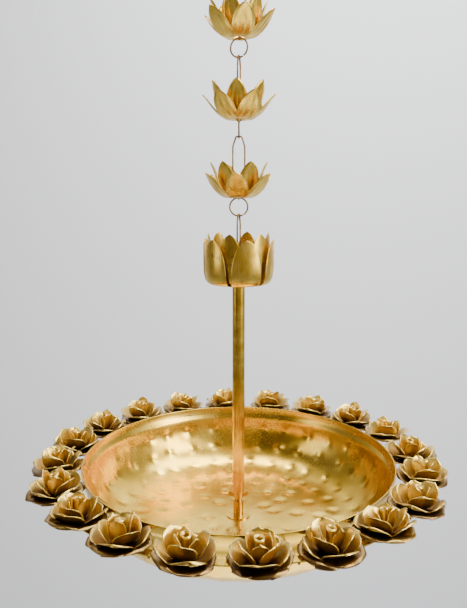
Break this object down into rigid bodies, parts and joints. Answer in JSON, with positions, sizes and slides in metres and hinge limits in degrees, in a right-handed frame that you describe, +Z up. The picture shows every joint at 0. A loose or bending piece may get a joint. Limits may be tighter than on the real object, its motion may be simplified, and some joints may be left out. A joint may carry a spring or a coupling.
{
  "type": "hanging flower bowl",
  "caption": "Hammered brass bowl ringed with sheet-metal roses, hung from a hook by a rod with a lotus cup and a chain of wire links, rings and small lotus flowers.",
  "frame": {"origin": "the hanging point: inside top of the hook's crook", "axes": "+Z up along the chain and the rod, from the bowl to the hook; the hook's crook lies in the YZ plane"},
  "size_m": [0.4028, 0.4044, 0.5584],
  "materials": {
    "hammered_bowl": "hammered satin brass, plain lip",
    "rose_sheet": "satin brass sheet, cut edges",
    "lotus_sheet": "stamped satin brass sheet",
    "plain_brass": "drawn and turned brass",
    "chain_wire": "browned brass wire"
  },
  "bodies": {
    "hook": {"ceiling_hook": "chain_wire"},
    "link_top": {"link_top": "chain_wire"},
    "lotus_top": {"lotus_top_outer": "lotus_sheet", "lotus_top_inner": "lotus_sheet"},
    "ring_top": {"ring_top": "chain_wire"},
    "link_upper": {"link_upper": "chain_wire"},
    "lotus_upper": {"lotus_upper_outer": "lotus_sheet", "lotus_upper_inner": "lotus_sheet"},
    "ring_upper": {"ring_upper": "chain_wire"},
    "link_lower": {"link_lower": "chain_wire"},
    "lotus_lower": {"lotus_lower_outer": "lotus_sheet", "lotus_lower_inner": "lotus_sheet"},
    "ring_lower": {"ring_lower": "chain_wire"},
    "link_cup": {"link_cup": "chain_wire"},
    "bowl": {"rod_eye": "chain_wire", "cup_outer_petals": "lotus_sheet", "cup_inner_petals": "lotus_sheet", "rod_tube": "plain_brass", "rod_top_plug": "plain_brass", "rod_bottom_plug": "plain_brass", "wing_nut": "plain_brass", "stud": "plain_brass", "floor_washer": "plain_brass", "bowl": "hammered_bowl", "rose_hoop": "plain_brass", "hoop_struts": "chain_wire", "rose_rivets": "plain_brass", "rose_01": "rose_sheet", "rose_02": "rose_sheet", "rose_03": "rose_sheet", "rose_04": "rose_sheet", "rose_05": "rose_sheet", "rose_06": "rose_sheet", "rose_07": "rose_sheet", "rose_08": "rose_sheet", "rose_09": "rose_sheet", "rose_10": "rose_sheet", "rose_11": "rose_sheet", "rose_12": "rose_sheet", "rose_13": "rose_sheet", "rose_14": "rose_sheet", "rose_15": "rose_sheet", "rose_16": "rose_sheet", "rose_17": "rose_sheet", "rose_18": "rose_sheet", "rose_19": "rose_sheet", "rose_20": "rose_sheet"}
  },
  "joints": [
    {"name": "link_top_swing", "type": "hinge", "parent": "hook", "child": "link_top", "pos_m": [0, 0, -0.04196], "axis": [1, 0, 0], "range_deg": [-40, 40]},
    {"name": "lotus_top_spin", "type": "hinge", "parent": "link_top", "child": "lotus_top", "pos_m": [0, 0, -0.09786], "axis": [0, 0, 1], "continuous": true},
    {"name": "ring_top_swing", "type": "hinge", "parent": "link_top", "child": "ring_top", "pos_m": [0, 0, -0.09741], "axis": [-0.9063, 0.4226, 0], "range_deg": [-40, 40]},
    {"name": "link_upper_swing", "type": "hinge", "parent": "ring_top", "child": "link_upper", "pos_m": [0, 0, -0.11256], "axis": [0.2419, 0.9703, 0], "range_deg": [-40, 40]},
    {"name": "lotus_upper_spin", "type": "hinge", "parent": "link_upper", "child": "lotus_upper", "pos_m": [0, 0, -0.16846], "axis": [0, 0, 1], "continuous": true},
    {"name": "ring_upper_swing", "type": "hinge", "parent": "link_upper", "child": "ring_upper", "pos_m": [0, 0, -0.16801], "axis": [0, -1, 0], "range_deg": [-40, 40]},
    {"name": "link_lower_swing", "type": "hinge", "parent": "ring_upper", "child": "link_lower", "pos_m": [0, 0, -0.18316], "axis": [1, 0, 0], "range_deg": [-40, 40]},
    {"name": "lotus_lower_spin", "type": "hinge", "parent": "link_lower", "child": "lotus_lower", "pos_m": [0, 0, -0.23906], "axis": [0, 0, 1], "continuous": true},
    {"name": "ring_lower_swing", "type": "hinge", "parent": "link_lower", "child": "ring_lower", "pos_m": [0, 0, -0.23861], "axis": [-1, 0, 0], "range_deg": [-40, 40]},
    {"name": "link_cup_swing", "type": "hinge", "parent": "ring_lower", "child": "link_cup", "pos_m": [0, 0, -0.25376], "axis": [0.2588, 0.9659, 0], "range_deg": [-40, 40]},
    {"name": "bowl_swing", "type": "hinge", "parent": "link_cup", "child": "bowl", "pos_m": [0, 0, -0.30896], "axis": [0, -1, 0], "range_deg": [-25, 25]}
  ]
}
